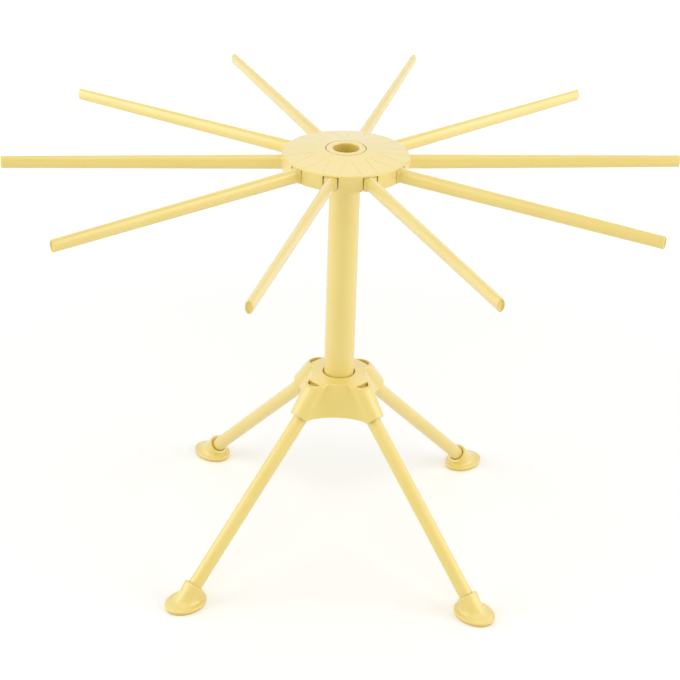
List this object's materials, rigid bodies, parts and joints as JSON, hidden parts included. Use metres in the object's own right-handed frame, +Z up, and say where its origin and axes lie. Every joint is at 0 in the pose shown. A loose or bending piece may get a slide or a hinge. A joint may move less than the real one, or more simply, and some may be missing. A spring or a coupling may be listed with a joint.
{
  "type": "pasta drying rack",
  "caption": "Folding pasta drying rack: tapered oval rods spread level from a conical turning hub on a hollow post, over splayed hinged legs on oval padded feet.",
  "frame": {"origin": "on the table top, under the post's axis", "axes": "+Z up along the post; the legs point between the X and Y axes; millimetre sizes in metres"},
  "size_m": [0.4482, 0.4406, 0.3014],
  "materials": {
    "yellow_plastic": "satin, pale butter yellow, moulded in the colour",
    "pad_rubber": "matt soft rubber in the same pale yellow",
    "pin_steel": "plain drawn steel, satin"
  },
  "bodies": {
    "stand": {"leg_base": "yellow_plastic", "leg_hinge_pins": "pin_steel", "post_tube": "yellow_plastic", "post_plug": "yellow_plastic", "post_screw": "pin_steel", "post_retaining_ring": "yellow_plastic"},
    "hub": {"hub_shell": "yellow_plastic", "hub_pin_plate": "yellow_plastic", "hub_plate_screws": "pin_steel", "rod_hinge_pins": "pin_steel"},
    "arm_01": {"rod_01": "yellow_plastic"},
    "arm_02": {"rod_02": "yellow_plastic"},
    "arm_03": {"rod_03": "yellow_plastic"},
    "arm_04": {"rod_04": "yellow_plastic"},
    "arm_05": {"rod_05": "yellow_plastic"},
    "arm_06": {"rod_06": "yellow_plastic"},
    "arm_07": {"rod_07": "yellow_plastic"},
    "arm_08": {"rod_08": "yellow_plastic"},
    "arm_09": {"rod_09": "yellow_plastic"},
    "arm_10": {"rod_10": "yellow_plastic"},
    "leg_unit_1": {"leg_1": "yellow_plastic", "foot_1": "yellow_plastic", "foot_pad_1": "pad_rubber"},
    "leg_unit_2": {"leg_2": "yellow_plastic", "foot_2": "yellow_plastic", "foot_pad_2": "pad_rubber"},
    "leg_unit_3": {"leg_3": "yellow_plastic", "foot_3": "yellow_plastic", "foot_pad_3": "pad_rubber"},
    "leg_unit_4": {"leg_4": "yellow_plastic", "foot_4": "yellow_plastic", "foot_pad_4": "pad_rubber"}
  },
  "joints": [
    {"name": "hub_turn", "type": "hinge", "parent": "stand", "child": "hub", "pos_m": [0, 0, 0.2915], "axis": [0, 0, 1], "continuous": true},
    {"name": "rod_01_fold", "type": "hinge", "parent": "hub", "child": "arm_01", "pos_m": [0.02736, 0.00273, 0.2898], "axis": [-0.0993, 0.9951, 0], "range_deg": [0, 78]},
    {"name": "rod_02_fold", "type": "hinge", "parent": "hub", "child": "arm_02", "pos_m": [0.02053, 0.01829, 0.2898], "axis": [-0.6652, 0.7466, 0], "range_deg": [0, 78]},
    {"name": "rod_03_fold", "type": "hinge", "parent": "hub", "child": "arm_03", "pos_m": [0.00586, 0.02687, 0.2898], "axis": [-0.977, 0.213, 0], "range_deg": [0, 78]},
    {"name": "rod_04_fold", "type": "hinge", "parent": "hub", "child": "arm_04", "pos_m": [-0.01105, 0.02518, 0.2898], "axis": [-0.9157, -0.4019, 0], "range_deg": [0, 78]},
    {"name": "rod_05_fold", "type": "hinge", "parent": "hub", "child": "arm_05", "pos_m": [-0.02374, 0.01387, 0.2898], "axis": [-0.5045, -0.8634, 0], "range_deg": [0, 78]},
    {"name": "rod_06_fold", "type": "hinge", "parent": "hub", "child": "arm_06", "pos_m": [-0.02736, -0.00273, 0.2898], "axis": [0.0993, -0.9951, 0], "range_deg": [0, 78]},
    {"name": "rod_07_fold", "type": "hinge", "parent": "hub", "child": "arm_07", "pos_m": [-0.02053, -0.01829, 0.2898], "axis": [0.6652, -0.7466, 0], "range_deg": [0, 78]},
    {"name": "rod_08_fold", "type": "hinge", "parent": "hub", "child": "arm_08", "pos_m": [-0.00586, -0.02687, 0.2898], "axis": [0.977, -0.213, 0], "range_deg": [0, 78]},
    {"name": "rod_09_fold", "type": "hinge", "parent": "hub", "child": "arm_09", "pos_m": [0.01105, -0.02518, 0.2898], "axis": [0.9157, 0.4019, 0], "range_deg": [0, 78]},
    {"name": "rod_10_fold", "type": "hinge", "parent": "hub", "child": "arm_10", "pos_m": [0.02374, -0.01387, 0.2898], "axis": [0.5045, 0.8634, 0], "range_deg": [0, 78]},
    {"name": "leg_1_fold", "type": "hinge", "parent": "stand", "child": "leg_unit_1", "pos_m": [0.01428, 0.01428, 0.1245], "axis": [-0.7071, 0.7071, 0], "range_deg": [0, 45]},
    {"name": "leg_2_fold", "type": "hinge", "parent": "stand", "child": "leg_unit_2", "pos_m": [-0.01428, 0.01428, 0.1245], "axis": [-0.7071, -0.7071, 0], "range_deg": [0, 45]},
    {"name": "leg_3_fold", "type": "hinge", "parent": "stand", "child": "leg_unit_3", "pos_m": [-0.01428, -0.01428, 0.1245], "axis": [0.7071, -0.7071, 0], "range_deg": [0, 45]},
    {"name": "leg_4_fold", "type": "hinge", "parent": "stand", "child": "leg_unit_4", "pos_m": [0.01428, -0.01428, 0.1245], "axis": [0.7071, 0.7071, 0], "range_deg": [0, 45]}
  ]
}
